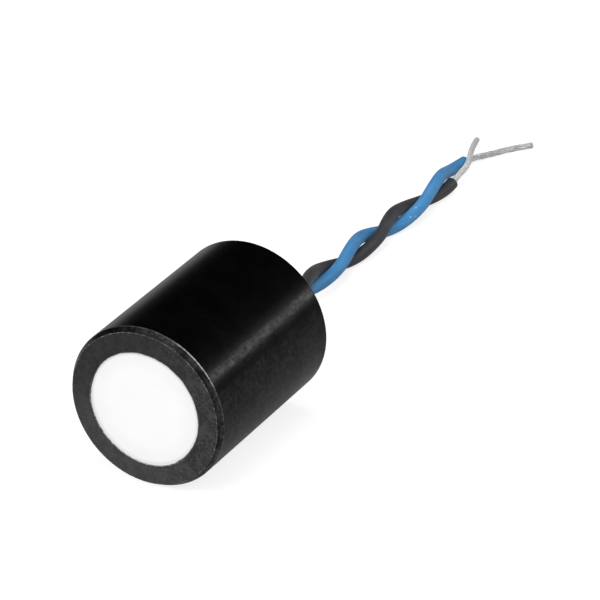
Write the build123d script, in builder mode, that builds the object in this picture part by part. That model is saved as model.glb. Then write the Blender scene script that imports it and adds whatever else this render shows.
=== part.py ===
import os
from math import cos, radians, sin, tan

from build123d import *

# Ultrasonic transducer, millimetres. A moulded tube lies on its side with its axis along Y. The radiating
# face looks towards -Y, the leads leave the rear, +Z is up and Z = 0 is the surface that it lies on.
# From the front: matching layer, bond film, electroded ceramic in a soft sleeve, foam backing, potting.

# Housing
housing_diameter = 16.0
housing_length = 19.6
wall_thickness = 1.3
rim_chamfer_depth = 0.35  # across the front face
rim_chamfer_length = 0.6  # along the barrel
rear_chamfer = 0.1

# Acoustic stack
lip_width = 1.0  # how far the front lip reaches in from the bore
edge_bond_width = 0.15
matching_thickness = 2.9  # a quarter wave at about 200 kHz
face_recess = 0.05
bond_thickness = 0.1
ceramic_thickness = 2.5
film_thickness = 0.05
film_margin = 0.3  # bare ceramic left round the rear film
tab_width = 2.6
tab_length = 1.9  # how far the wrapped tab reaches in from the ceramic's edge
tab_gap = 0.5
sleeve_thickness = 1.2
sleeve_clearance = 0.1  # between the sleeve and the film round the ceramic
bore_clearance = 0.05  # between the bore and what is slid into it

# Backing and potting
backing_thickness = 5.0
pocket_diameter = 2.6
pocket_depth = 1.3
potting_recess = 0.4
meniscus = 0.35

# Leads
lead_diameter = 1.3
core_diameter = 0.65
wire_sides = 12  # flats round each wire, to keep its facets few
lead_spacing = 2.0  # between the two leads where they leave the potting
exit_angle = 318.0  # turn of the blue lead about the axis there, from +X towards +Z
strip_length = 1.0  # bare strands between each inner insulation end and its electrode
solder_diameter = 1.9
solder_height = 0.7
lead_bore_clearance = 0.05
lead_straight = 3.0  # straight stretch at each end of the black lead's slant inside
inner_bend_radius = 5.0  # of the black lead's middle, at each end of the slant

# Middle of the twisted pair with its turn there since the exit, and the leads' own last points
pair_line = [
    (0.0, 9.4, 8.0, 0),
    (0.0, 12.8, 8.0, 0),
    (-0.8, 16.8, 7.2, 90),
    (-2.3, 20.6, 4.9, 179),
    (-3.65, 25.3, 2.55, 270),
    (-4.2, 30.9, 1.5, 368),
    (-4.05, 36.0, 1.47, 462),
    (-4.0, 39.6, 1.41, 544),
    (-3.7, 43.1, 1.41, 630),
    (-3.35, 47.0, 1.41, 720),
    (-3.05, 51.2, 1.41, 810),
    (-2.95, 54.9, 1.42, 900),
]
blue_tail = [(-4.2, 58.8, 0.86), (-4.05, 62.0, 0.65)]
black_tail = [(-2.55, 54.1, 0.87), (-2.45, 56.7, 1.05)]
bare_straight = 1.2  # how far the bare strands run on in line with their insulation
blue_bare_tail = [(-2.85, 65.3, 0.4), (-1.4, 67.65, 0.34), (0.3, 69.65, 0.34)]
black_bare_tail = [(-2.75, 60.1, 1.5), (-3.5, 62.5, 1.5), (-4.35, 65.0, 1.05), (-5.35, 67.7, 0.5)]

# Derived
axis_height = housing_diameter / 2
front = -housing_length / 2
rear = housing_length / 2
bore_radius = axis_height - wall_thickness
opening_radius = bore_radius - lip_width
matching_radius = opening_radius - edge_bond_width
matching_front = front + face_recess
matching_rear = matching_front + matching_thickness  # flush with the back of the lip
sleeve_radius = bore_radius - bore_clearance
ceramic_radius = sleeve_radius - sleeve_thickness - sleeve_clearance - film_thickness
film_front = matching_rear + bond_thickness
ceramic_front = film_front + film_thickness
ceramic_rear = ceramic_front + ceramic_thickness
stack_rear = ceramic_rear + film_thickness
backing_rear = stack_rear + backing_thickness
potting_rear = rear - potting_recess
lead_radius = lead_diameter / 2
core_radius = core_diameter / 2
exit_radius = lead_spacing / 2
tab_joint_radius = ceramic_radius - tab_length / 2
barrel_axis = Axis((0, 0, axis_height), (0, 1, 0))


def across(y):
    """A plane square to the barrel, facing the front, with X to the right and Z up."""
    return Plane(origin=(0, y, axis_height), x_dir=(1, 0, 0), z_dir=(0, -1, 0))


def towards_tab(y):
    """The same plane turned so that its X points at the black lead and the wrapped tab."""
    turn = radians(exit_angle + 180)
    return Plane(origin=(0, y, axis_height), x_dir=(cos(turn), 0, sin(turn)), z_dir=(0, -1, 0))


def lengthwise():
    """The plane through the barrel's axis: its X runs rearwards and its Y is the radius."""
    return Plane(origin=(0, 0, axis_height), x_dir=(0, 1, 0), z_dir=(1, 0, 0))


def at(y, radius, angle):
    """A point at a depth, a radius and a turn from +X towards +Z about the barrel's axis."""
    return (radius * cos(radians(angle)), y, axis_height + radius * sin(radians(angle)))


# Housing: one turned profile, with the lip that holds the matching layer
with BuildPart() as housing:
    with BuildSketch(lengthwise()):
        with BuildLine():
            Polyline(
                (front, opening_radius),
                (front, axis_height - rim_chamfer_depth),
                (front + rim_chamfer_length, axis_height),
                (rear - rear_chamfer, axis_height),
                (rear, axis_height - rear_chamfer),
                (rear, bore_radius),
                (matching_rear, bore_radius),
                (matching_rear, opening_radius),
                close=True,
            )
        make_face()
    revolve(axis=barrel_axis)

# Matching layer and the adhesive round it
with BuildPart() as matching_layer:
    with BuildSketch(across(matching_front)):
        Circle(matching_radius)
    extrude(amount=-matching_thickness)

with BuildPart() as edge_bond:
    with BuildSketch(across(matching_front)):
        Circle(opening_radius)
        Circle(matching_radius, mode=Mode.SUBTRACT)
    extrude(amount=-matching_thickness)

with BuildPart() as bond_film:
    with BuildSketch(across(matching_rear)):
        Circle(ceramic_radius)
    extrude(amount=-bond_thickness)

# Ceramic and its two silver films: the front one wraps round the edge to a tab at the rear
with BuildPart() as ceramic_disc:
    with BuildSketch(across(ceramic_front)):
        Circle(ceramic_radius)
    extrude(amount=-ceramic_thickness)

with BuildPart() as front_electrode:
    with BuildSketch(across(film_front)):
        Circle(ceramic_radius)
    extrude(amount=-film_thickness)
    with BuildSketch(towards_tab(film_front)):
        Rectangle(housing_diameter, tab_width, align=(Align.MIN, Align.CENTER))
        Circle(ceramic_radius + film_thickness, mode=Mode.INTERSECT)
        Circle(ceramic_radius, mode=Mode.SUBTRACT)
    extrude(amount=-(stack_rear - film_front))
    with BuildSketch(towards_tab(ceramic_rear)):
        with Locations((ceramic_radius - tab_length, 0)):
            Rectangle(housing_diameter, tab_width, align=(Align.MIN, Align.CENTER))
        Circle(ceramic_radius + film_thickness, mode=Mode.INTERSECT)
    extrude(amount=-film_thickness)

with BuildPart() as rear_electrode:
    with BuildSketch(towards_tab(ceramic_rear)):
        Circle(ceramic_radius - film_margin)
        with Locations((ceramic_radius - tab_length - tab_gap, 0)):
            Rectangle(
                housing_diameter, tab_width + 2 * tab_gap, align=(Align.MIN, Align.CENTER), mode=Mode.SUBTRACT
            )
    extrude(amount=-film_thickness)

# Soft sleeve that keeps the ceramic's ringing out of the housing
with BuildPart() as decoupling_sleeve:
    with BuildSketch(across(matching_rear)):
        Circle(sleeve_radius)
        Circle(sleeve_radius - sleeve_thickness, mode=Mode.SUBTRACT)
    extrude(amount=-(stack_rear - matching_rear))


# Leads inside the housing
def arc_radii(points):
    """For each corner of a route, 0.45 of its shorter run divided by the tangent of half its turn."""
    corners = [Vector(*point) for point in points]
    radii = []
    for before, corner, after in zip(corners, corners[1:], corners[2:]):
        arriving, leaving = corner - before, after - corner
        half_turn = radians(arriving.get_angle(leaving)) / 2
        radii.append(0.45 * min(arriving.length, leaving.length) / tan(half_turn))
    return radii


def route(points, bend_radius=None):
    """Straight runs joined by tangent arcs of one radius, or as large as the runs allow."""
    with BuildLine() as path:
        if len(points) == 2:
            Line(*points)
        else:
            FilletPolyline(*points, radius=bend_radius or arc_radii(points))
    return path.wire()


def rod(points, radius, hollow_radius=0, bend_radius=None):
    """A round wire along a route, or a tube if it is given a hollow radius."""
    path = route(points, bend_radius)
    with BuildPart() as wire:
        with BuildSketch(Plane(origin=path @ 0, z_dir=path % 0)):
            RegularPolygon(radius, wire_sides)
            if hollow_radius:
                RegularPolygon(hollow_radius, wire_sides, mode=Mode.SUBTRACT)
        sweep(path=path)
    return wire


def inner_points(start):
    """Both leads' points inside, from a depth to the potting's rear: blue straight, black from the tab."""
    black_angle = exit_angle + 180
    blue = [at(start, exit_radius, exit_angle), at(potting_rear, exit_radius, exit_angle)]
    black = [
        at(start, tab_joint_radius, black_angle),
        at(stack_rear + lead_straight, tab_joint_radius, black_angle),
        at(potting_rear - lead_straight, exit_radius, black_angle),
        at(potting_rear, exit_radius, black_angle),
    ]
    return blue, black


blue_core_line, black_core_line = inner_points(stack_rear)
blue_root_line, black_root_line = inner_points(stack_rear + strip_length)
blue_core = rod(blue_core_line, core_radius)
black_core = rod(black_core_line, core_radius, bend_radius=inner_bend_radius)
blue_root = rod(blue_root_line, lead_radius, core_radius)
black_root = rod(black_root_line, lead_radius, core_radius, inner_bend_radius)
blue_way = rod(blue_root_line, lead_radius)
black_way = rod(black_root_line, lead_radius, bend_radius=inner_bend_radius)
blue_foam_way = rod(blue_root_line, lead_radius + lead_bore_clearance)
black_foam_way = rod(black_root_line, lead_radius + lead_bore_clearance, bend_radius=inner_bend_radius)


def solder_joint(radius, angle, core):
    """A low dome of solder on the stack's rear, round the strands that end in it."""
    centre = at(stack_rear, radius, angle)
    dome_radius = ((solder_diameter / 2) ** 2 + solder_height**2) / (2 * solder_height)
    with BuildPart() as joint:
        with BuildSketch(Plane(origin=centre, x_dir=(0, 1, 0), z_dir=(1, 0, 0))):
            with Locations((solder_height - dome_radius, 0)):
                Circle(dome_radius)
            Rectangle(solder_height, dome_radius, align=(Align.MIN, Align.MIN), mode=Mode.INTERSECT)
        revolve(axis=Axis(centre, (0, 1, 0)))
        add(core.part, mode=Mode.SUBTRACT)
    return joint


rear_solder = solder_joint(exit_radius, exit_angle, blue_core)
tab_solder = solder_joint(tab_joint_radius, exit_angle + 180, black_core)

# Foam absorber, with a pocket over each solder joint and a bore for each lead
with BuildPart() as backing_disc:
    with BuildSketch(across(stack_rear)):
        Circle(sleeve_radius)
    extrude(amount=-backing_thickness)
    with BuildSketch(towards_tab(stack_rear)):
        with Locations((-exit_radius, 0), (tab_joint_radius, 0)):
            Circle(pocket_diameter / 2)
    extrude(amount=-pocket_depth, mode=Mode.SUBTRACT)
    add(blue_foam_way.part, mode=Mode.SUBTRACT)
    add(black_foam_way.part, mode=Mode.SUBTRACT)

# Potting: its free surface creeps up where it wets the bore
with BuildPart() as potting:
    with BuildSketch(across(backing_rear)):
        Circle(bore_radius)
    extrude(amount=-(potting_rear + meniscus - backing_rear))
    with BuildSketch(across(potting_rear)):
        Circle(bore_radius - meniscus)
    extrude(amount=-meniscus, taper=-45, mode=Mode.SUBTRACT)
    add(blue_way.part, mode=Mode.SUBTRACT)
    add(black_way.part, mode=Mode.SUBTRACT)


# Twisted pair outside: each lead winds left-handed round the pair's middle, half a turn from the other
def twisted(first_angle, count):
    """One point for each point of the pair's line, set off square to it at the pair's turn there."""
    middle = [Vector(*point[:3]) for point in pair_line]
    steps = [after - before for before, after in zip(middle, middle[1:])]
    along = [steps[0], steps[0]] + [arriving + leaving for arriving, leaving in zip(steps[1:], steps[2:])]
    along.append(steps[-1])
    points = []
    for place in range(count):
        side = along[place].cross(Vector(0, 0, 1)).normalized()
        up = side.cross(along[place]).normalized()
        turn = radians(first_angle + pair_line[place][3])
        points.append(tuple(middle[place] + exit_radius * (side * cos(turn) + up * sin(turn))))
    return points


def bare(line, tail):
    """The bare strands' points: from the insulation's end, straight on, then along their own tail."""
    end = Vector(*line[-1])
    onward = (end - Vector(*line[-2])).normalized()
    return [tuple(end), tuple(end + bare_straight * onward)] + tail


blue_line = twisted(exit_angle, len(pair_line)) + blue_tail
black_line = twisted(exit_angle + 180, len(pair_line) - 1) + black_tail
blue_bare_line = bare(blue_line, blue_bare_tail)
black_bare_line = bare(black_line, black_bare_tail)
blue_lead = rod(blue_line, lead_radius)
black_lead = rod(black_line, lead_radius)
blue_bare_end = rod(blue_bare_line, core_radius)
black_bare_end = rod(black_bare_line, core_radius)

for name, points in (("blue lead", blue_line), ("black lead", black_line),
                     ("blue bare end", blue_bare_line), ("black bare end", black_bare_line)):
    print(name, "length", round(route(points).length, 2), "arc radii", [round(r, 1) for r in arc_radii(points)])

housing.part.label = "housing"
matching_layer.part.label = "matching_layer"
edge_bond.part.label = "edge_bond"
bond_film.part.label = "bond_film"
ceramic_disc.part.label = "ceramic_disc"
front_electrode.part.label = "front_electrode"
rear_electrode.part.label = "rear_electrode"
decoupling_sleeve.part.label = "decoupling_sleeve"
rear_solder.part.label = "rear_solder"
tab_solder.part.label = "tab_solder"
backing_disc.part.label = "backing_disc"
potting.part.label = "potting"
blue_root.part.label = "blue_root"
black_root.part.label = "black_root"
blue_core.part.label = "blue_core"
black_core.part.label = "black_core"
blue_lead.part.label = "blue_lead"
black_lead.part.label = "black_lead"
blue_bare_end.part.label = "blue_bare_end"
black_bare_end.part.label = "black_bare_end"

os.makedirs("parts", exist_ok=True)
export_step(housing.part, "parts/housing.step")
export_step(matching_layer.part, "parts/matching_layer.step")
export_step(edge_bond.part, "parts/edge_bond.step")
export_step(bond_film.part, "parts/bond_film.step")
export_step(ceramic_disc.part, "parts/ceramic_disc.step")
export_step(front_electrode.part, "parts/front_electrode.step")
export_step(rear_electrode.part, "parts/rear_electrode.step")
export_step(decoupling_sleeve.part, "parts/decoupling_sleeve.step")
export_step(rear_solder.part, "parts/rear_solder.step")
export_step(tab_solder.part, "parts/tab_solder.step")
export_step(backing_disc.part, "parts/backing_disc.step")
export_step(potting.part, "parts/potting.step")
export_step(blue_root.part, "parts/blue_root.step")
export_step(black_root.part, "parts/black_root.step")
export_step(blue_core.part, "parts/blue_core.step")
export_step(black_core.part, "parts/black_core.step")
export_step(blue_lead.part, "parts/blue_lead.step")
export_step(black_lead.part, "parts/black_lead.step")
export_step(blue_bare_end.part, "parts/blue_bare_end.step")
export_step(black_bare_end.part, "parts/black_bare_end.step")
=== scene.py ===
import bpy
import numpy as np
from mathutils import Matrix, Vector


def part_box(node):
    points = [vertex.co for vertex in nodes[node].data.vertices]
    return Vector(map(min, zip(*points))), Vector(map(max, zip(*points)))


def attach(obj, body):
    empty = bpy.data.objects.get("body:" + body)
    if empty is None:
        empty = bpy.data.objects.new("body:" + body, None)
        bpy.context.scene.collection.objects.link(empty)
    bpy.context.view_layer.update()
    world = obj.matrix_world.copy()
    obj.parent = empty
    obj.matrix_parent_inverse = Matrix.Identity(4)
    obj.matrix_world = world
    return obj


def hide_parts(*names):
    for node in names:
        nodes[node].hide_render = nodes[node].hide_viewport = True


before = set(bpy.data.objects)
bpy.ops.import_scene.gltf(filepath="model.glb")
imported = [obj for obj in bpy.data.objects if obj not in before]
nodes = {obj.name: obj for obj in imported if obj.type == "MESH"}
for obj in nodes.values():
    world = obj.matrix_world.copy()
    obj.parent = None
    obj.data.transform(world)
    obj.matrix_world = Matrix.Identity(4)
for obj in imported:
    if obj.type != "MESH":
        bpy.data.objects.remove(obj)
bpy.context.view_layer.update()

scene = bpy.context.scene
scene.view_settings.view_transform = "Standard"
mm = 0.001
print("frame loaded with", len(nodes), "nodes")


# camera
cameraSet = {"place": (0.16118, -0.26901, 0.18487), "aim": (-0.42917, 0.76672, -0.47744), "lens": 234.6}

cameraData = bpy.data.cameras.new("bench camera")
cameraData.lens = cameraSet["lens"]
cameraData.clip_start = 0.01
camera = bpy.data.objects.new("bench camera", cameraData)
camera.location = cameraSet["place"]
camera.rotation_euler = Vector(cameraSet["aim"]).to_track_quat("-Z", "Y").to_euler()
scene.collection.objects.link(camera)
scene.camera = camera
print("camera set")


# helpers for surfaces
def unit(vectors):  # each vector divided by its own length
    return vectors / np.linalg.norm(vectors, axis=-1, keepdims=True)


def waver(angle, seed, lowest, highest):
    # cosines of whole turns from lowest to highest, with seeded phases, added up and scaled to run
    # from 0 to 1
    turns = np.arange(lowest, highest + 1)[:, None]
    phase = np.random.default_rng(seed).uniform(0, 2 * np.pi, (len(turns), 1))
    total = (np.cos(turns * angle + phase) / turns**0.5).sum(0)
    return (total - total.min()) / (total.max() - total.min())


def newMesh(name, vertices, corners, sizes):
    # a smooth mesh from each face's corners, one face after another, and each face's number of corners
    mesh = bpy.data.meshes.new(name)
    mesh.vertices.add(len(vertices))
    mesh.vertices.foreach_set("co", vertices.ravel())
    mesh.loops.add(len(corners))
    mesh.loops.foreach_set("vertex_index", corners)
    mesh.polygons.add(len(sizes))
    mesh.polygons.foreach_set("loop_start", np.cumsum(sizes) - sizes)
    mesh.polygons.foreach_set("use_smooth", np.ones(len(sizes), dtype=bool))
    return mesh


def mapAlong(mesh, u, v, sizes):
    # a UV map from the values at each corner, in which the faces at the seam run on to 1
    widest = np.repeat(np.maximum.reduceat(u, np.cumsum(sizes) - sizes), sizes)
    u = np.where(widest - u > 0.5, u + 1, u)
    layer = mesh.uv_layers.new(name="alongTheCord")
    layer.data.foreach_set("uv", np.stack([u, v], -1).ravel().astype(np.float32))


def surface(name, points, wrapRows=False, across=None):
    # a grid of points, rows by columns, or several such grids. Each is closed round its columns,
    # and along its rows it closes on itself or ends in a point at each end. Its volume, added up
    # over its faces, is made positive, so the faces point outwards. across is each row's place for
    # the UV map, which has u once round and v in millimetres.
    points = np.asarray(points, dtype=float)
    points = points[None] if points.ndim == 3 else points
    parts, rows, columns = points.shape[:3]
    index = np.arange(parts * rows * columns).reshape(parts, rows, columns)
    lower = index if wrapRows else index[:, :-1]
    upper = np.roll(index, -1, 1) if wrapRows else index[:, 1:]
    quads = np.stack([lower, np.roll(lower, -1, 2), np.roll(upper, -1, 2), upper], -1).reshape(-1, 4)
    vertices = points.reshape(-1, 3)
    faces, halves = [quads], [quads[:, [0, 1, 2]], quads[:, [0, 2, 3]]]
    if not wrapRows:
        first = len(vertices) + np.arange(parts)[:, None] + 0 * index[:, 0]
        last = first + parts
        vertices = np.vstack([vertices, points[:, 0].mean(1), points[:, -1].mean(1)])
        near, far = index[:, 0], index[:, -1]
        ends = np.concatenate([
            np.stack([first, np.roll(near, -1, 1), near], -1).reshape(-1, 3),
            np.stack([last, far, np.roll(far, -1, 1)], -1).reshape(-1, 3)])
        faces.append(ends)
        halves.append(ends)
    flat = vertices[np.concatenate(halves)]
    if (flat[:, 0] * np.cross(flat[:, 1], flat[:, 2])).sum() < 0:
        faces = [part[:, ::-1] for part in faces]
    corners = np.concatenate([part.ravel() for part in faces])
    sizes = np.concatenate([np.full(len(part), part.shape[1]) for part in faces])
    mesh = newMesh(name, vertices, corners, sizes)
    if across is not None:
        extra = np.zeros(len(vertices) - index.size)
        u = np.append((index % columns).ravel() / columns, extra)
        v = np.append(np.broadcast_to(across[:, None], index.shape).ravel() / mm, extra)
        mapAlong(mesh, u[corners], v[corners], sizes)
    mesh.update(calc_edges=True)
    mesh.validate()
    piece = bpy.data.objects.new(name, mesh)
    scene.collection.objects.link(piece)
    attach(piece, "root")
    return piece


def finish(piece, material, slot, *replaced):
    piece.data.materials.append(material)
    if replaced:
        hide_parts(*replaced)
    return piece


# the twisted pair's routes: the pair's middle line, and at each of its points the turn in degrees
# and how far the two leads' points are apart
pair = {
    "line": mm * np.array([
        (0.0, 9.4, 8.0), (0.0, 12.8, 8.0), (-0.71, 16.12, 7.25), (-1.81, 19.37, 5.65),
        (-3.0, 22.97, 3.77), (-3.98, 27.86, 2.16), (-4.09, 32.46, 1.54), (-3.96, 36.92, 1.42),
        (-4.04, 41.0, 1.38), (-3.76, 44.69, 1.38), (-3.36, 48.48, 1.38), (-2.92, 52.76, 1.4)]),
    "turn": np.array([318, 318, 393, 468, 543, 633, 723, 813, 903, 994, 1086, 1172]),
    "apart": mm * np.array([2.0, 2.0, 1.8, 1.7, 1.8, 1.82, 1.82, 1.94, 1.94, 1.88, 1.88, 1.9]),
    "blueTail": mm * np.array([(-3.67, 55.71, 2.05), (-4.32, 59.01, 0.86), (-4.14, 61.95, 0.65)]),
    "blackTail": mm * np.array([(-2.71, 54.13, 0.62), (-2.71, 56.32, 1.05)]),
    "bareStraight": 1.2 * mm,
    "blueBareTail": mm * np.array([(-2.86, 65.31, 0.4), (-1.55, 67.76, 0.34), (0.07, 69.62, 0.34)]),
    "blackBareTail": mm * np.array([
        (-2.79, 60.1, 1.5), (-3.77, 62.5, 1.5), (-4.73, 64.97, 1.05), (-5.58, 67.66, 0.5)]),
    "leadDiameter": 1.3 * mm,
    "coreDiameter": 0.65 * mm,
}


def twisted(opposite, count):
    # each point of the pair's line moved out by half the distance apart, square to the line,
    # at the pair's turn there
    runs = np.diff(pair["line"], axis=0)
    along = np.vstack([runs[:1], runs[:1], runs[1:-1] + runs[2:], runs[-1:]])
    side = unit(np.cross(along, (0, 0, 1)))
    up = unit(np.cross(side, along))
    turn = np.radians(pair["turn"] + opposite)[:, None]
    outward = side * np.cos(turn) + up * np.sin(turn)
    return (pair["line"] + pair["apart"][:, None] / 2 * outward)[:count]


def bareLine(line, tail):  # from the insulation's end straight on, then through the tail
    onward = unit(line[-1] - line[-2])
    return np.vstack([line[-1], line[-1] + pair["bareStraight"] * onward, tail])


def smoothLine(points):
    # the NURBS spline of order 3 with these control points, from end to end, read back as points
    curve = bpy.data.curves.new("route", "CURVE")
    curve.dimensions = "3D"
    spline = curve.splines.new("NURBS")
    spline.points.add(len(points) - 1)
    spline.points.foreach_set("co", np.c_[points, np.ones(len(points))].ravel())
    spline.order_u = 3
    spline.use_endpoint_u = True
    spline.resolution_u = 12
    holder = bpy.data.objects.new("route", curve)
    scene.collection.objects.link(holder)
    mesh = bpy.data.meshes.new_from_object(holder)
    line = np.empty(3 * len(mesh.vertices))
    mesh.vertices.foreach_get("co", line)
    bpy.data.objects.remove(holder)
    bpy.data.curves.remove(curve)
    bpy.data.meshes.remove(mesh)
    return line.reshape(-1, 3)


def lengths(line):  # the distance run at each point
    return np.concatenate([[0], np.cumsum(np.linalg.norm(np.diff(line, axis=0), axis=1))])


def follow(line, distance):
    # centre, sideways, upward and onward directions at each distance along the line
    run = lengths(line)
    centre, onward = (
        np.stack([np.interp(distance, run, axis) for axis in values.T], -1)
        for values in (line, np.gradient(line, run, axis=0)))
    onward = unit(onward)
    side = unit(np.cross(onward, (0, 0, 1)))
    return centre, side, np.cross(side, onward), onward


blueRoute = np.vstack([twisted(0, len(pair["line"])), pair["blueTail"]])
blackRoute = np.vstack([twisted(180, len(pair["line"]) - 1), pair["blackTail"]])
blueLine, blackLine = smoothLine(blueRoute), smoothLine(blackRoute)
blueBareLine = smoothLine(bareLine(blueRoute, pair["blueBareTail"]))
blackBareLine = smoothLine(bareLine(blackRoute, pair["blackBareTail"]))
print("routes: blue %.2f mm, black %.2f mm" % (lengths(blueLine)[-1] / mm, lengths(blackLine)[-1] / mm))


# helpers for materials
def feed(tree, made, inputs):  # each input gets a link from a socket, or a constant
    for socket, value in inputs.items():
        if isinstance(value, bpy.types.NodeSocket):
            tree.links.new(value, made.inputs[socket])
        else:
            made.inputs[socket].default_value = value


def node(tree, kind, inputs, **fields):
    made = tree.nodes.new("ShaderNode" + kind)
    for field, value in fields.items():
        setattr(made, field, value)
    feed(tree, made, inputs)
    return made


def maths(tree, operation, first, second=0.0, third=0.0):  # one Math node
    return node(tree, "Math", {0: first, 1: second, 2: third}, operation=operation).outputs[0]


def product(tree, first, second):
    return maths(tree, "MULTIPLY", first, second)


def between(tree, value, low, high, outLow=0.0, outHigh=1.0):
    # a smooth step from outLow to outHigh while the value goes from low to high
    step = node(tree, "MapRange", {"Value": value, "From Min": low, "From Max": high,
                                   "To Min": outLow, "To Max": outHigh}, interpolation_type="SMOOTHSTEP")
    return step.outputs["Result"]


def noise(tree, place, scale, detail=3.0, roughness=0.6):
    inputs = {"Vector": place, "Scale": scale, "Detail": detail, "Roughness": roughness}
    return node(tree, "TexNoise", inputs).outputs[0]


def bumped(tree, height, strength, depth):  # the normal
    return node(tree, "Bump", {"Strength": strength, "Distance": depth, "Height": height}).outputs[0]


def blendColours(tree, mask, first, second):
    # node inputs 0, 6 and 7 are the mask and the two colours
    return node(tree, "Mix", {0: mask, 6: first, 7: second}, data_type="RGBA").outputs[2]


def group(name, ins, outs):
    tree = bpy.data.node_groups.new(name, "ShaderNodeTree")
    for label, kind in ins:
        tree.interface.new_socket(label, in_out="INPUT", socket_type="NodeSocket" + kind)
    for label, kind in outs:
        tree.interface.new_socket(label, in_out="OUTPUT", socket_type="NodeSocket" + kind)
    return tree, tree.nodes.new("NodeGroupInput"), tree.nodes.new("NodeGroupOutput")


def use(tree, shared, inputs):
    made = tree.nodes.new("ShaderNodeGroup")
    made.node_tree = shared
    feed(tree, made, inputs)
    return made.outputs


# cloudy patches, fine grain and scattered specks, all from a place in millimetres and their sizes
speckled, groupIn, groupOut = group(
    "mottleAndSpecks", [("Place", "Vector"), ("Patch Size", "Float"), ("Speck Size", "Float")],
    [("Patches", "Float"), ("Grain", "Float"), ("Specks", "Float")])
spot = groupIn.outputs["Place"]
patchScale = maths(speckled, "DIVIDE", 1.0, groupIn.outputs["Patch Size"])
speckScale = maths(speckled, "DIVIDE", 1.0, groupIn.outputs["Speck Size"])
patches = noise(speckled, spot, patchScale)
grain = noise(speckled, spot, speckScale, 2.0, 0.5)
dots = node(speckled, "TexVoronoi", {"Vector": spot, "Scale": product(speckled, speckScale, 0.35)})
specks = between(speckled, dots.outputs["Distance"], 0.05, 0.22, 1.0, 0.0)
speckled.links.new(between(speckled, patches, 0.3, 0.7), groupOut.inputs["Patches"])
speckled.links.new(between(speckled, grain, 0.25, 0.75), groupOut.inputs["Grain"])
speckled.links.new(specks, groupOut.inputs["Specks"])

# where a point lies on the barrel, in millimetres: its place from the middle of the front, its distances
# from the axis and from the front, and a pattern of turning lines
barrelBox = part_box("housing")
axisHeight = (barrelBox[0].z + barrelBox[1].z) / 2
perMillimetre = (1 / mm, 1 / mm, 1 / mm)
barrelPlace, groupIn, groupOut = group(
    "placeOnTheBarrel", [("Object Place", "Vector")],
    [("Place", "Vector"), ("Radius", "Float"), ("Depth", "Float"), ("Turning", "Float")])
centred = node(barrelPlace, "Mapping", {
    "Vector": groupIn.outputs[0], "Location": (0, -barrelBox[0].y / mm, -axisHeight / mm),
    "Scale": perMillimetre}).outputs[0]
parted = node(barrelPlace, "SeparateXYZ", {0: centred}).outputs
squared = product(barrelPlace, parted["Z"], parted["Z"])
squared = maths(barrelPlace, "MULTIPLY_ADD", parted["X"], parted["X"], squared)
stretched = node(barrelPlace, "Mapping", {"Vector": centred, "Scale": (0.12, 7.0, 0.12)}).outputs[0]
lines = noise(barrelPlace, stretched, 1.0)
barrelPlace.links.new(centred, groupOut.inputs["Place"])
barrelPlace.links.new(maths(barrelPlace, "SQRT", squared), groupOut.inputs["Radius"])
barrelPlace.links.new(parted["Y"], groupOut.inputs["Depth"])
barrelPlace.links.new(between(barrelPlace, lines, 0.3, 0.7), groupOut.inputs["Turning"])


def mottled(tree, place, patchSize, speckSize):
    return use(tree, speckled, {"Place": place, "Patch Size": patchSize, "Speck Size": speckSize})


def onBarrel(tree, place):
    return use(tree, barrelPlace, {"Object Place": place.outputs["Object"]})


def towards(tree, place, sideways, upwards):  # how far a place on the barrel lies in one direction
    parted = node(tree, "SeparateXYZ", {0: place}).outputs
    return maths(tree, "MULTIPLY_ADD", parted["X"], sideways, product(tree, parted["Z"], upwards))


def newMaterial(name, shader):
    # a material, its tree, its shader with all its constants, and the object's own coordinates
    made = bpy.data.materials.new(name)
    made.use_nodes = True
    tree = made.node_tree
    principled = tree.nodes["Principled BSDF"]
    for socket, value in shader.items():
        principled.inputs[socket].default_value = value
    place = node(tree, "TexCoord", {})
    return made, tree, principled, place


def wire(tree, shader, **links):
    for socket, value in links.items():
        tree.links.new(value, shader.inputs[socket.replace("_", " ")])


def inMillimetres(tree, place):
    return node(tree, "Mapping", {"Vector": place.outputs["Object"], "Scale": perMillimetre}).outputs[0]


def grey(level, warmth=0.0):
    return (level * (1 + warmth), level, level * (1 - warmth), 1)


print("material helpers ready")

# housing
housing = {
    "rimDepth": 0.35 * mm, "rimLength": 0.6 * mm, "rearChamfer": 0.1 * mm,
    # each edge's break in millimetres, from the opening outwards and back, and the rows between the edges
    "breaks": (0.05, 0.035, 0.05, 0.03, 0.03, 0.09, 0.05, 0.05),
    "between": (14, 3, 44, 2, 5, 16, 2, 6),
    "columns": 384,
    # the opening's edge: its break, how far it is chipped and at which angle most, in millimetres and degrees
    "openingBreak": 0.03, "ragged": 0.05, "raggedAt": 245,
    "groundGrey": 0.022, "smearGrey": 0.6, "burrGrey": 0.2,
    "barrelBlack": 0.0006, "dustGrey": 0.012, "rubbedGrey": 0.028, "glintGrey": 0.42,
    "groundDepth": 0.012 * mm,  # what lies no deeper than this is ground
    # directions across the barrel, sideways and up: where its edge gets a painted glint, where its face gets
    # painted light and the adhesive spreads further, and where its face gets painted shade
    "glintTowards": (0.67, 0.743), "lowerLeftTowards": (-0.45, -0.9), "paintedShadeTowards": (-0.6, 0.8),
}
radius = min(barrelBox[1].x - barrelBox[0].x, barrelBox[1].z - barrelBox[0].z) / 2
front, rear = barrelBox[0].y, barrelBox[1].y
openingRadius = (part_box("edge_bond")[1].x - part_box("edge_bond")[0].x) / 2
boreRadius = (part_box("potting")[1].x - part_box("potting")[0].x) / 2
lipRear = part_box("edge_bond")[1].y
angle = np.linspace(0, 2 * np.pi, housing["columns"], endpoint=False)
lowerLeft = 0.55 + 0.45 * np.cos(angle - np.radians(housing["raggedAt"]))
chips = housing["ragged"] * lowerLeft * waver(angle, 11, 20, 110) ** 2
openingChips = housing["openingBreak"] + chips


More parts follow.
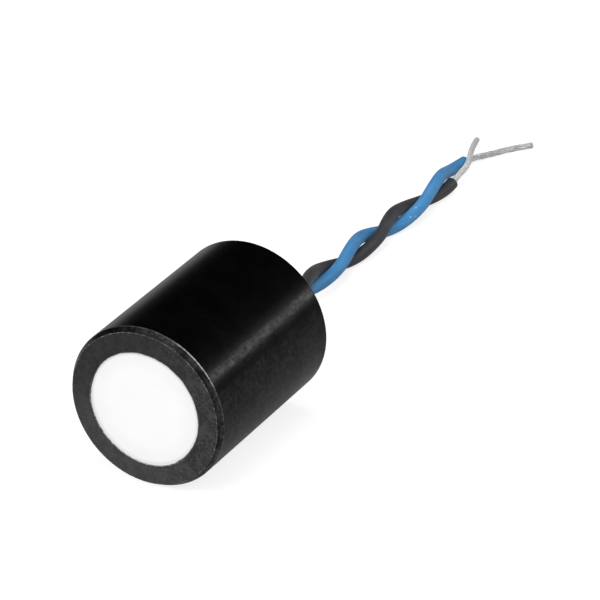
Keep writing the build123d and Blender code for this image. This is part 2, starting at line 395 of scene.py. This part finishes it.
def bend(start, corner, end):
    # five rows of a quadratic curve from start to end, drawn towards the corner
    t = np.linspace(0, 1, 5).reshape(-1, *[1] * start.ndim)
    return (1 - t) ** 2 * start + 2 * t * (1 - t) * corner + t**2 * end


def softLoop(corners, breaks, rowsBetween, support=0.03 * mm):
    # a closed outline in radius and depth: each corner is a curve from one side to the other, a break's
    # length from the corner, with one more row on each side, and evenly spaced rows run between
    outline = []
    count = len(corners)
    for place in range(count):
        corner = np.array(corners[place])[None]
        back = unit(np.array(corners[place - 1]) - corner)
        onward = unit(np.array(corners[(place + 1) % count]) - corner)
        size = np.broadcast_to(np.asarray(breaks[place]) * mm, angle.shape)[:, None]
        start, end = corner + back * size, corner + onward * size
        before, after = start + back * support, end + onward * support
        outline.append(np.concatenate([before[None], bend(start, corner, end), after[None]]))
    whole = []
    for place in range(count):
        here, following = outline[place], outline[(place + 1) % count]
        share = (np.arange(1, rowsBetween[place] + 1) / (rowsBetween[place] + 1))[:, None, None]
        whole += [here, here[-1] * (1 - share) + following[0] * share]
    return np.concatenate(whole)


def turned(outline, angles=angle):
    # radius and depth turned round the barrel's axis, which runs along Y at the axis height
    out, depth = outline[..., 0], outline[..., 1] + 0 * angles
    return np.stack([out * np.cos(angles), depth, axisHeight + out * np.sin(angles)], -1)


corners = [
    (openingRadius, front), (radius - housing["rimDepth"], front), (radius, front + housing["rimLength"]),
    (radius, rear - housing["rearChamfer"]), (radius - housing["rearChamfer"], rear), (boreRadius, rear),
    (boreRadius, lipRear), (openingRadius, lipRear)]
# the opening's break has its chips, and those of the chamfer's two edges are uneven
breaks = list(housing["breaks"])
breaks[0] = openingChips
breaks[1] = housing["breaks"][1] * (0.6 + 0.9 * waver(angle, 5, 4, 60))
breaks[2] = housing["breaks"][2] * (0.7 + 0.7 * waver(angle, 6, 2, 24))
housingShape = turned(softLoop(corners, breaks, housing["between"]))
shell = surface("transducerHousing", housingShape, wrapRows=True)

# satin black under a thin polish: cloudy patches and turning lines in its gloss and faint dusty scuffs.
# The chamfer is rubbed grey in patches, and the edge where it meets the barrel carries a painted glint, a
# pale grey line strongest up and to the right, under a glossy coat
satinBlack, tree, shader, place = newMaterial(
    "satinBlackBarrel", {"Specular IOR Level": 0.06, "Coat Roughness": 0.16})
spot = onBarrel(tree, place)
marks = mottled(tree, spot["Place"], 2.2, 0.12)
small = mottled(tree, spot["Place"], 0.38, 0.05)
scuffed = product(tree, marks["Patches"], small["Patches"])
rimEnd = housing["rimLength"] / mm
edge = maths(tree, "ABSOLUTE", maths(tree, "SUBTRACT", spot["Depth"], rimEnd))
# painted glint: the chamfer's outer edge is painted pale grey, strongest up and to the right
upRight = between(tree, towards(tree, spot["Place"], *housing["glintTowards"]), 7.4, 7.92)
paintedEdgeGlint = between(tree, edge, 0.02, 0.09, 1.0, 0.0)
paintedEdgeGlint = product(tree, paintedEdgeGlint, between(tree, small["Patches"], 0.0, 0.9, 0.45, 1.0))
paintedEdgeGlint = product(tree, paintedEdgeGlint, maths(tree, "MULTIPLY_ADD", upRight, 0.88, 0.12))
rubbed = between(tree, spot["Depth"], rimEnd - 0.02, rimEnd + 0.05, 1.0, 0.0)
cloudy = maths(tree, "ADD", small["Patches"], marks["Patches"])
rubbed = product(tree, rubbed, between(tree, cloudy, 0.5, 1.7, 0.15, 1.0))
rubbed = product(tree, rubbed, between(tree, spot["Depth"], 0.05, 0.4, 0.45, 1.0))
sideways = node(tree, "SeparateXYZ", {0: spot["Place"]}).outputs["X"]
rubbed = product(tree, rubbed, between(tree, sideways, -4.0, 0.0, 0.3, 1.0))
black = blendColours(tree, scuffed, grey(housing["barrelBlack"]), grey(housing["barrelBlack"] * 2.5))
black = blendColours(tree, product(tree, marks["Specks"], 0.25), black, grey(housing["dustGrey"]))
colour = blendColours(tree, rubbed, black, grey(housing["rubbedGrey"]))
colour = blendColours(tree, paintedEdgeGlint, colour, grey(housing["glintGrey"]))
gloss = maths(tree, "MULTIPLY_ADD", scuffed, 0.12, 0.28)
gloss = maths(tree, "MULTIPLY_ADD", spot["Turning"], 0.04, gloss)
polish = maths(tree, "MULTIPLY_ADD", marks["Patches"], 0.12, 0.08)
polish = product(tree, polish, maths(tree, "MULTIPLY_ADD", small["Patches"], 1.5, 0.25))
polish = maths(tree, "MULTIPLY_ADD", paintedEdgeGlint, 0.8, polish)
height = maths(tree, "MULTIPLY_ADD", spot["Turning"], 0.3, small["Patches"])
height = maths(tree, "MULTIPLY_ADD", small["Grain"], 0.3, height)
normal = bumped(tree, height, 0.5, 0.008 * mm)
wire(tree, shader, Base_Color=colour, Roughness=gloss, Coat_Weight=polish, Normal=normal)

# ground face: mottled grey with pale specks, painted light towards the lower left and painted shade towards
# the upper left, pale adhesive smeared on its inner edge and a bright broken line at its rim
groundGrey, tree, shader, place = newMaterial("groundFaceGrey", {"Specular IOR Level": 0.25})
spot = onBarrel(tree, place)
marks = mottled(tree, spot["Place"], 1.1, 0.1)
fine = mottled(tree, spot["Place"], 0.28, 0.035)
tone = maths(tree, "MULTIPLY_ADD", fine["Patches"], 0.5, product(tree, marks["Patches"], 0.5))
level = housing["groundGrey"]
# painted light on the face's lower left and painted shade on its upper left
low = between(tree, towards(tree, spot["Place"], *housing["lowerLeftTowards"]), 0.5, 5.5)
high = between(tree, towards(tree, spot["Place"], *housing["paintedShadeTowards"]), -1.0, 6.0)
ground = blendColours(tree, between(tree, tone, 0.2, 0.8), grey(level * 0.55), grey(level * 1.5))
ground = blendColours(tree, product(tree, high, 0.6), ground, grey(level * 0.35))
ground = blendColours(tree, product(tree, low, 0.35), ground, grey(level * 2.4))
dusted = product(tree, marks["Specks"], between(tree, fine["Patches"], 0.3, 0.9, 0.0, 0.6))
ground = blendColours(tree, dusted, ground, grey(level * 4))
smear = maths(tree, "MULTIPLY_ADD", fine["Patches"], 0.1, openingRadius / mm)
smeared = between(tree, maths(tree, "SUBTRACT", spot["Radius"], smear), -0.03, 0.04, 0.7, 0.0)
ground = blendColours(tree, product(tree, smeared, low), ground, grey(housing["smearGrey"]))
rim = maths(tree, "SUBTRACT", spot["Radius"], (radius - housing["rimDepth"]) / mm - 0.06)
burr = product(tree, between(tree, rim, -0.02, 0.03), between(tree, fine["Patches"], 0.4, 0.95, 0.15, 1.0))
burr = product(tree, burr, between(tree, marks["Patches"], 0.0, 0.8, 0.45, 1.0))
ground = blendColours(tree, burr, ground, grey(housing["burrGrey"]))
rough = maths(tree, "MULTIPLY_ADD", fine["Grain"], 0.12, 0.6)
height = maths(tree, "MULTIPLY_ADD", fine["Patches"], 0.5, fine["Grain"])
normal = bumped(tree, height, 0.5, 0.008 * mm)
wire(tree, shader, Base_Color=ground, Roughness=rough, Normal=normal)

finish(shell, satinBlack, "housing", "housing")
shell.data.materials.append(groundGrey)
middles = np.empty(3 * len(shell.data.polygons))
shell.data.polygons.foreach_get("center", middles)
onFace = middles.reshape(-1, 3)[:, 1] < front + housing["groundDepth"]
shell.data.polygons.foreach_set("material_index", onFace.astype(np.int32))
print("housing:", len(shell.data.polygons), "faces,", int(onFace.sum()), "of them ground")

# matching layer
matching = {
    "break": 0.03 * mm, "frontRows": 16, "white": 0.777, "pitWhite": 0.6,
    # painted shade: greyer from this radius outwards, and again at the very edge, in millimetres
    "greyFrom": 3.4, "outerShadeWhite": 0.66, "edgeWidth": 0.3, "rimShadeWhite": 0.55,
}
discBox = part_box("matching_layer")
discRadius, discFront, discRear = (discBox[1].x - discBox[0].x) / 2, discBox[0].y, discBox[1].y


def disc(outerRadius, frontDepth, rearDepth, edgeBreak, frontRows):
    # out along the front face, round a quarter-curve edge, back along the side, and in along the rear face
    flatEnd = 1.6 * edgeBreak
    faceRadii = np.linspace(0.04, 1, frontRows)[:, None] * (outerRadius - flatEnd)
    rim = bend(np.array([outerRadius - edgeBreak, frontDepth]), np.array([outerRadius, frontDepth]),
               np.array([outerRadius, frontDepth + edgeBreak]))
    sideDepths = np.linspace(frontDepth + flatEnd, rearDepth, 8)[:, None]
    outline = np.vstack([
        np.hstack([faceRadii, 0 * faceRadii + frontDepth]), rim,
        np.hstack([0 * sideDepths + outerRadius, sideDepths]),
        np.hstack([faceRadii[::-1], 0 * faceRadii + rearDepth])])
    return outline[:, None, :]


discOutline = disc(discRadius, discFront, discRear, matching["break"], matching["frontRows"])
whiteDisc = surface("whiteMatchingLayer", turned(discOutline))

# filled resin, ground flat: nearly white, with painted shade greying it towards its edge and more at the rim,
# with faint pits and marks
groundWhite, tree, shader, place = newMaterial(
    "groundWhiteResin", {"Specular IOR Level": 0.3, "Roughness": 0.7})
spot = onBarrel(tree, place)
marks = mottled(tree, spot["Place"], 1.8, 0.25)
fine = mottled(tree, spot["Place"], 0.2, 0.05)
white = blendColours(tree, marks["Patches"], grey(matching["white"] * 0.985, 0.002), grey(matching["white"]))
pits = product(tree, marks["Specks"], between(tree, marks["Patches"], 0.75, 1.0, 0.0, 0.22))
white = blendColours(tree, pits, white, grey(matching["pitWhite"]))
edgeRadius = discRadius / mm
# painted shade, greying the disc from greyFrom outwards and more at its rim, broken up by patches
outward = between(tree, spot["Radius"], matching["greyFrom"], edgeRadius, 0.0, 0.35)
white = blendColours(tree, outward, white, grey(matching["outerShadeWhite"]))
paintedRimShade = between(tree, spot["Radius"], edgeRadius - matching["edgeWidth"], edgeRadius + 0.05, 0.0, 0.8)
paintedRimShade = product(tree, paintedRimShade, between(tree, fine["Patches"], 0.0, 1.0, 0.6, 1.0))
white = blendColours(tree, paintedRimShade, white, grey(matching["rimShadeWhite"]))
height = maths(tree, "SUBTRACT", product(tree, fine["Grain"], 0.5), pits)
normal = bumped(tree, height, 0.4, 0.006 * mm)
wire(tree, shader, Base_Color=white, Normal=normal)
finish(whiteDisc, groundWhite, "matching_layer", "matching_layer")
print("matching layer:", len(whiteDisc.data.polygons), "faces")

# edge bond: the adhesive between the white layer and the housing
bond = {
    "dip": 0.02 * mm, "sag": 0.03 * mm, "overlap": 0.02 * mm, "proud": 0.004 * mm, "discEdge": 0.05 * mm,
    "filled": 0.12 * mm, "filledEnd": 0.2 * mm, "dusty": 0.03, "white": 0.62,
}
bondFront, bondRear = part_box("edge_bond")[0].y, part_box("edge_bond")[1].y
outerTop = openingRadius + openingChips * 0.75 * mm
topDepth = front + (0.012 + 0.02 * (1 - waver(angle, 21, 8, 50))) * mm
middleDepth = bondFront + bond["dip"] - bond["sag"] * waver(angle, 23, 6, 40)


def bondRow(out, depth):  # a radius and a depth at each angle
    return np.stack([out + 0 * angle, depth + 0 * angle], -1)


# a closed outline whose front sags between the disc's edge and the housing's chipped edge, which it fills
bondOutline = np.stack([
    bondRow(discRadius, bondRear),
    bondRow(discRadius, bondFront + bond["discEdge"]),
    bondRow(discRadius - bond["overlap"], bondFront - bond["proud"]),
    bondRow(discRadius * 0.6 + openingRadius * 0.4, middleDepth),
    bondRow(openingRadius, 0.5 * (bondFront + topDepth)),
    bondRow(outerTop, topDepth),
    bondRow(openingRadius + bond["overlap"], bondFront + bond["filled"]),
    bondRow(openingRadius, bondFront + bond["filledEnd"]),
    bondRow(openingRadius, bondRear)])
bondRing = surface("edgeBondRing", turned(bondOutline), wrapRows=True)

paleBond, tree, shader, place = newMaterial("paleAdhesive", {"Specular IOR Level": 0.4, "Roughness": 0.45})
spot = onBarrel(tree, place)
marks = mottled(tree, spot["Place"], 0.7, 0.08)
low = between(tree, towards(tree, spot["Place"], *housing["lowerLeftTowards"]), 0.5, 5.0, 0.0, 0.13)
reach = maths(tree, "MULTIPLY_ADD", marks["Patches"], 0.05, maths(tree, "ADD", low, discRadius / mm + 0.02))
wet = between(tree, maths(tree, "SUBTRACT", spot["Radius"], reach), -0.02, 0.03, 1.0, 0.0)
pale = blendColours(tree, marks["Grain"], grey(bond["dusty"] * 0.7, 0.01), grey(bond["dusty"] * 1.4, 0.005))
pale = blendColours(tree, wet, pale, grey(bond["white"], 0.005))
normal = bumped(tree, marks["Grain"], 0.4, 0.01 * mm)
wire(tree, shader, Base_Color=pale, Normal=normal)
finish(bondRing, paleBond, "edge_bond", "edge_bond")
print("edge bond made")

# potting: black epoxy that creeps up the bore and up both leads
potting = {"columns": 240, "creep": 0.33 * mm, "reach": 0.13 * mm, "ripple": 0.02 * mm}
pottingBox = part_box("potting")
pottingRear = pair["line"][0, 1]
pottingAngle = np.linspace(0, 2 * np.pi, potting["columns"], endpoint=False)
# the rings lie closest together round the leads and at the bore
topRadii = mm * np.concatenate([
    np.linspace(0.04, 2.4, 56), np.linspace(2.45, 6.0, 26), np.linspace(6.05, boreRadius / mm, 20)])
px, pz = topRadii[:, None] * np.cos(pottingAngle), topRadii[:, None] * np.sin(pottingAngle)
# the surface rises by the creep at the bore and at each lead, and falls away from them exponentially
wallRise = potting["creep"] * np.exp(-(boreRadius - topRadii[:, None]) / potting["reach"]) + 0 * px
gaps = np.stack([
    np.hypot(px - leadExit[0], pz - (leadExit[2] - axisHeight)) - pair["leadDiameter"] / 2
    for leadExit in (blueRoute[0], blackRoute[0])])
leadRise = 0.75 * potting["creep"] * np.exp(-np.maximum(gaps, 0) / potting["reach"]).max(0)
ripples = potting["ripple"] * (np.cos(px / (1.3 * mm) + 0.6) * np.cos(pz / (1.1 * mm) + 1.1) - 1)
lid = pottingRear + wallRise + leadRise + ripples * (1 - np.exp(-(boreRadius - topRadii[:, None]) / mm))
sideDepths = np.linspace(pottingRear, pottingBox[0].y, 12)[:, None]
sidePoints = turned(np.stack([0 * sideDepths + boreRadius, sideDepths], -1), pottingAngle)
underRadii = np.linspace(boreRadius * 0.97, 0.04 * mm, 10)[:, None]
underPoints = turned(np.stack([underRadii, 0 * underRadii + pottingBox[0].y], -1), pottingAngle)
pottingShape = np.concatenate([np.stack([px, lid, axisHeight + pz], -1), sidePoints, underPoints])
pottingPiece = surface("pottingBlock", pottingShape)

epoxyBlack, tree, shader, place = newMaterial("glossyBlackEpoxy", {"Specular IOR Level": 0.45})
marks = mottled(tree, inMillimetres(tree, place), 1.6, 0.16)
colour = blendColours(tree, marks["Patches"], grey(0.009), grey(0.017))
colour = blendColours(tree, product(tree, marks["Specks"], 0.35), colour, grey(0.07, 0.02))
gloss = maths(tree, "MULTIPLY_ADD", marks["Patches"], 0.12, 0.2)
height = maths(tree, "MULTIPLY_ADD", marks["Grain"], 0.25, marks["Patches"])
normal = bumped(tree, height, 0.3, 0.02 * mm)
wire(tree, shader, Base_Color=colour, Roughness=gloss, Normal=normal)
finish(pottingPiece, epoxyBlack, "potting", "potting")
print("potting:", len(pottingPiece.data.polygons), "faces")

# leads
lead = {
    "sides": 32, "rowLength": 0.22 * mm, "waist": 0.012, "ragged": 0.05 * mm,
    # the cut end's rounding, and for each of its rows how far it is from the end, in roundings, and its
    # share of the thickness. The last three rows are sunk
    "cutRound": 0.07 * mm,
    "endRows": np.array([1.6, 1.0, 0.55, 0.2, 0.0, 0.0, 0.0, 0.0]),
    "endShares": np.array([1.0, 1.0, 0.985, 0.95, 0.9, 0.8, 0.66, 0.5]),
    "sink": 0.04 * mm * np.array([0.2, 0.6, 1.0]),
    "whiteSpecked": mm * np.array([-2.8, 47.4, 1.5]),  # the white specks are round here
}


def circles(around, side, up):  # a circle of radius 1 square to the line at each place along it
    return np.cos(around)[:, None] * side[:, None] + np.sin(around)[:, None] * up[:, None]


def insulation(name, line, seed):
    # a round tube along the line, very slightly uneven, whose far end is a rounded, slightly ragged cut face
    whole = lengths(line)[-1]
    cut = lead["cutRound"]
    plainRows = np.linspace(0, whole - 3 * cut, int(whole / lead["rowLength"]))
    distance = np.concatenate([plainRows, whole - cut * lead["endRows"]])
    share = np.concatenate([np.ones(len(plainRows)), lead["endShares"]])
    around = -np.pi / 2 + np.linspace(0, 2 * np.pi, lead["sides"], endpoint=False)
    centre, side, up, onward = follow(line, distance)
    ripple = np.cos(distance[:, None] / mm * 1.7 + seed) * np.cos(2 * around + seed)
    uneven = 1 - lead["waist"] * (0.5 + 0.5 * ripple)
    thick = pair["leadDiameter"] / 2 * share[:, None] * uneven
    atEnd = np.clip((distance - (whole - 2 * cut)) / (2 * cut), 0, 1)[:, None]
    inward = np.concatenate([np.zeros(len(distance) - len(lead["sink"])), lead["sink"]])[:, None]
    push = atEnd * lead["ragged"] * (waver(around, seed, 2, 7) - 1) - inward
    points = centre[:, None] + thick[..., None] * circles(around, side, up)
    return surface(name, points + push[..., None] * onward[:, None], across=distance)


blueLead = insulation("blueLeadInsulation", blueLine, 3)
blackLead = insulation("blackLeadInsulation", blackLine, 8)


def insulationFinish(name, body, dusty, roughness, whiteSpecked):
    # matt PVC: soft patches, faint draw lines along the wire from its UV map, small pale rubs, and white
    # specks round one place
    made, tree, shader, place = newMaterial(
        name, {"Specular IOR Level": 0.35, "Sheen Weight": 0.06, "Sheen Roughness": 0.5})
    spot = inMillimetres(tree, place)
    marks = mottled(tree, spot, 1.1, 0.11)
    along = node(tree, "Mapping", {"Vector": place.outputs["UV"], "Scale": (9.0, 0.35, 1.0)}).outputs[0]
    drawn = between(tree, noise(tree, along, 1.0, 2.0, 0.5), 0.3, 0.7)
    colour = blendColours(tree, marks["Patches"], tuple(0.9 * part for part in body[:3]) + (1,), body)
    colour = blendColours(tree, product(tree, drawn, 0.18), colour, dusty)
    rubs = product(tree, marks["Specks"], between(tree, marks["Patches"], 0.6, 0.95, 0.0, 0.45))
    colour = blendColours(tree, rubs, colour, dusty)
    away = node(tree, "VectorMath", {0: spot, 1: tuple(lead["whiteSpecked"] / mm)}, operation="DISTANCE")
    larger = mottled(tree, spot, 1.1, 0.2)
    whiteSpecks = between(tree, away.outputs["Value"], 0.7, 1.5, whiteSpecked, 0.0)
    whiteSpecks = product(tree, larger["Specks"], whiteSpecks)
    colour = blendColours(tree, whiteSpecks, colour, grey(0.6))
    rough = maths(tree, "MULTIPLY_ADD", marks["Grain"], 0.12, roughness)
    height = maths(tree, "MULTIPLY_ADD", drawn, 0.5, marks["Grain"])
    normal = bumped(tree, height, 0.35, 0.012 * mm)
    wire(tree, shader, Base_Color=colour, Roughness=rough, Normal=normal)
    return made


# each insulation's own colour and its dusty one, its roughness, and how white its specks are
bluePlastic = insulationFinish("blueInsulation", (0.038, 0.238, 0.525, 1), (0.26, 0.45, 0.68, 1), 0.48, 0.85)
blackPlastic = insulationFinish("blackInsulation", (0.03, 0.029, 0.033, 1), (0.11, 0.11, 0.12, 1), 0.46, 0.2)
finish(blueLead, bluePlastic, "blue_insulation", "blue_lead")
finish(blackLead, blackPlastic, "black_insulation", "black_lead")
print("leads:", len(blueLead.data.polygons) + len(blackLead.data.polygons), "faces")

# bare ends
strand = {
    "count": 6, "sides": 10, "lay": 7.5 * mm, "rows": 120, "inside": 0.4 * mm, "slack": 0.03,
    # how far the strands' middles are out, and how thick they are, in sixths of the core's diameter
    "out": 1.88, "thickness": 1.12,
    # the last rows: how far each is from the tip, and its shares of the distance and of the thickness
    "tip": 0.12 * mm,
    "tipRows": np.array([0.7, 0.4, 0.15, 0.0]),
    "tipOut": np.array([0.99, 0.97, 0.94, 0.9]),
    "tipThickness": np.array([0.97, 0.85, 0.6, 0.25]),
}


def strands(name, line, seed):
    # six strands wound left-handed round a seventh, each a thin tube, pulled together at the tip
    start = line[0] - strand["inside"] * unit(line[1] - line[0])
    line = np.vstack([start, line])
    whole = lengths(line)[-1]
    plainRows = np.linspace(0, whole - strand["tip"], strand["rows"])
    distance = np.concatenate([plainRows, whole - strand["tip"] * strand["tipRows"]])
    centre, side, up = follow(line, distance)[:3]
    size = pair["coreDiameter"] / 6
    number = np.arange(strand["count"])[:, None]
    turn = number * np.pi / 3 - 2 * np.pi * distance / strand["lay"] + seed
    loose = 1 - strand["slack"] * (0.5 + 0.5 * np.cos(distance / mm * 2.3 + number * 1.7))
    out = strand["out"] * size * np.concatenate([np.ones(strand["rows"]), strand["tipOut"]]) * loose
    middle = centre + out[..., None] * (np.cos(turn)[..., None] * side + np.sin(turn)[..., None] * up)
    middle = np.concatenate([centre[None], middle])
    thin = strand["thickness"] * size * np.concatenate([np.ones(strand["rows"]), strand["tipThickness"]])
    around = np.linspace(0, 2 * np.pi, strand["sides"], endpoint=False)
    ring = circles(around, side, up)
    return surface(name, middle[:, :, None] + thin[:, None, None] * ring[None], across=distance)


blueStrands = strands("blueBareStrands", blueBareLine, 0.4)
blackStrands = strands("blackBareStrands", blackBareLine, 1.5)


def tinFinish(name, metallic, dull, bright, roughness):
    # tinned copper: bright and dull patches of solder, slightly warm where the tin is thin
    made, tree, shader, place = newMaterial(name, {"Metallic": metallic, "Specular IOR Level": 0.6})
    marks = mottled(tree, inMillimetres(tree, place), 0.7, 0.07)
    colour = blendColours(tree, marks["Patches"], grey(dull, 0.008), grey(bright, 0.004))
    colour = blendColours(tree, product(tree, marks["Specks"], 0.3), colour, grey(dull * 0.8, 0.05))
    rough = maths(tree, "MULTIPLY_ADD", marks["Patches"], -0.14, roughness)
    normal = bumped(tree, marks["Grain"], 0.4, 0.01 * mm)
    wire(tree, shader, Base_Color=colour, Roughness=rough, Normal=normal)
    return made


# each tin's metal share, its dull and bright greys, and its roughness
# two copies of one tinned copper: the black lead's strands get lighter greys and less metal, painted light so
# that they render lighter than the blue lead's
brightTin = tinFinish("brightTinnedCopper", 0.9, 0.5, 0.74, 0.44)
paintedLighterTin = tinFinish("tinnedCopperPaintedLighter", 0.22, 0.6, 0.74, 0.55)
finish(blueStrands, brightTin, "tinned_strands", "blue_bare_end")
finish(blackStrands, paintedLighterTin, "tinned_strands", "black_bare_end")

print("bare ends:", len(blueStrands.data.polygons) + len(blackStrands.data.polygons), "faces")


# inner parts, closed in by the housing
def dress(material, *names):
    for name in names:
        for place in nodes[name].material_slots:
            place.material = material


def innerFinish(name, look):
    # two tones in patches, flecks of a third, and a grain in the surface
    made, tree, shader, place = newMaterial(name, {"Metallic": look["metallic"], "Specular IOR Level": 0.4})
    marks = mottled(tree, inMillimetres(tree, place), look["patch"], look["fleck"])
    first, second, third = look["tones"]
    colour = blendColours(tree, marks["Patches"], first, second)
    colour = blendColours(tree, product(tree, marks["Specks"], 0.5), colour, third)
    rough = maths(tree, "MULTIPLY_ADD", marks["Grain"], 0.15, look["roughness"])
    normal = bumped(tree, marks["Grain"], 0.5, look["depth"])
    wire(tree, shader, Base_Color=colour, Roughness=rough, Normal=normal)
    return made


# patch and fleck are sizes in millimetres
innerLooks = {
    "amberBondFilm": {
        "on": ["bond_film"],
        "patch": 1.2, "fleck": 0.1, "roughness": 0.3, "metallic": 0.0, "depth": 0.01 * mm,
        "tones": [(0.48, 0.36, 0.17, 1), (0.55, 0.44, 0.24, 1), (0.62, 0.55, 0.4, 1)]},
    "firedCeramic": {
        "on": ["ceramic_disc"],
        "patch": 0.9, "fleck": 0.06, "roughness": 0.55, "metallic": 0.0, "depth": 0.01 * mm,
        "tones": [(0.33, 0.27, 0.19, 1), (0.4, 0.33, 0.24, 1), (0.22, 0.17, 0.12, 1)]},
    "firedSilver": {
        "on": ["front_electrode", "rear_electrode"],
        "patch": 0.8, "fleck": 0.05, "roughness": 0.38, "metallic": 1.0, "depth": 0.006 * mm,
        "tones": [grey(0.66, 0.01), grey(0.8, 0.005), grey(0.5, 0.03)]},
    "sleeveRubber": {
        "on": ["decoupling_sleeve"],
        "patch": 0.7, "fleck": 0.12, "roughness": 0.75, "metallic": 0.0, "depth": 0.03 * mm,
        "tones": [grey(0.16), grey(0.22), grey(0.3)]},
    "solderTin": {
        "on": ["rear_solder", "tab_solder"],
        "patch": 0.5, "fleck": 0.08, "roughness": 0.28, "metallic": 1.0, "depth": 0.02 * mm,
        "tones": [grey(0.5, 0.01), grey(0.66, 0.005), grey(0.4, 0.02)]},
    "backingFoam": {
        "on": ["backing_disc"],
        "patch": 0.35, "fleck": 0.2, "roughness": 0.85, "metallic": 0.0, "depth": 0.08 * mm,
        "tones": [grey(0.3, 0.03), grey(0.38, 0.03), grey(0.12, 0.03)]},
}
for name, look in innerLooks.items():
    dress(innerFinish(name, look), *look["on"])
dress(bluePlastic, "blue_root")
dress(blackPlastic, "black_root")
dress(brightTin, "blue_core", "black_core")
print("inner parts dressed")

# floor, world and lamps
stageSet = {
    "floorHalf": 2.0, "floorWhite": 0.43, "floorLift": 0.76, "mirroredShare": 0.23,
    "worldFill": 0.44, "sideGlow": 0.24, "glowFrom": np.array([0.55, -0.8, 0.1]),
    "lampsAim": (0, 0.01, 0.005),
    "lamps": {  # each lamp's place, width, depth and power
        "front left softbox": ((-0.35, -0.6, 0.5), 0.45, 0.45, 4.2),
        "front softbox": ((0.3, -0.85, 0.2), 0.5, 0.4, 4.2),
        "overhead softbox": ((0.05, 0.0, 0.85), 0.5, 0.5, 2.6),
        "rear right strip": ((0.36, 0.46, 0.16), 0.22, 0.08, 0.32),
        "small upper right": ((0.38, 0.23, 0.48), 0.16, 0.16, 0.6),
    },
}
half = stageSet["floorHalf"]
floorMesh = bpy.data.meshes.new("paleFloor")
floorCorners = [(-half, -half, 0), (half, -half, 0), (half, half, 0), (-half, half, 0)]
floorMesh.from_pydata(floorCorners, [], [(0, 1, 2, 3)])
floor = bpy.data.objects.new("paleFloor", floorMesh)
scene.collection.objects.link(floor)

# the floor takes the lamps and the object's shadow, and is lifted to white where it is seen straight on or
# through something, less where it is mirrored, and more far away where the lamps don't reach
floorWhite = bpy.data.materials.new("paleFloor")
floorWhite.use_nodes = True
tree = floorWhite.node_tree
tree.nodes.remove(tree.nodes["Principled BSDF"])
plain = node(tree, "BsdfDiffuse", {"Color": grey(stageSet["floorWhite"])})
path = node(tree, "LightPath", {}).outputs
seen = product(tree, path["Is Glossy Ray"], stageSet["mirroredShare"])
seen = maths(tree, "MAXIMUM", seen, path["Is Transmission Ray"])
seen = maths(tree, "MAXIMUM", path["Is Camera Ray"], seen)
place = node(tree, "TexCoord", {}).outputs["Object"]
away = node(tree, "VectorMath", {0: place}, operation="LENGTH").outputs["Value"]
far = between(tree, away, 0.25, 0.9, stageSet["floorLift"], 1.0)
lift = node(tree, "Emission", {"Color": (1, 1, 1, 1), "Strength": product(tree, seen, far)})
both = node(tree, "AddShader", {0: plain.outputs[0], 1: lift.outputs[0]})
tree.links.new(both.outputs[0], tree.nodes["Material Output"].inputs["Surface"])
floorMesh.materials.append(floorWhite)

# the world is white to look at, and lights and mirrors in the object as a dim room with a glow low on
# the right
world = bpy.data.worlds.new("softRoom")
world.use_nodes = True
scene.world = world
tree = world.node_tree
path = node(tree, "LightPath", {}).outputs
place = node(tree, "TexCoord", {}).outputs["Generated"]
facing = node(tree, "VectorMath", {0: place, 1: tuple(unit(stageSet["glowFrom"]))}, operation="DOT_PRODUCT")
room = between(tree, facing.outputs["Value"], -0.6, 0.9, 0.03, 1.0)
direct = maths(tree, "MAXIMUM", path["Is Camera Ray"], path["Is Transmission Ray"])
mirrored = product(tree, path["Is Glossy Ray"], product(tree, room, stageSet["sideGlow"]))
indirect = product(tree, room, stageSet["worldFill"])
strength = maths(tree, "MAXIMUM", direct, maths(tree, "MAXIMUM", mirrored, indirect))
tree.links.new(strength, tree.nodes["Background"].inputs["Strength"])
tree.nodes["Background"].inputs["Color"].default_value = (1, 1, 1, 1)

for name, (place, width, depth, power) in stageSet["lamps"].items():
    lampData = bpy.data.lights.new(name, "AREA")
    lampData.shape = "RECTANGLE"
    lampData.size, lampData.size_y, lampData.energy = width, depth, power
    lamp = bpy.data.objects.new(name, lampData)
    lamp.location = place
    lamp.rotation_euler = (Vector(stageSet["lampsAim"]) - Vector(place)).to_track_quat("-Z", "Y").to_euler()
    scene.collection.objects.link(lamp)
print("stage lit")
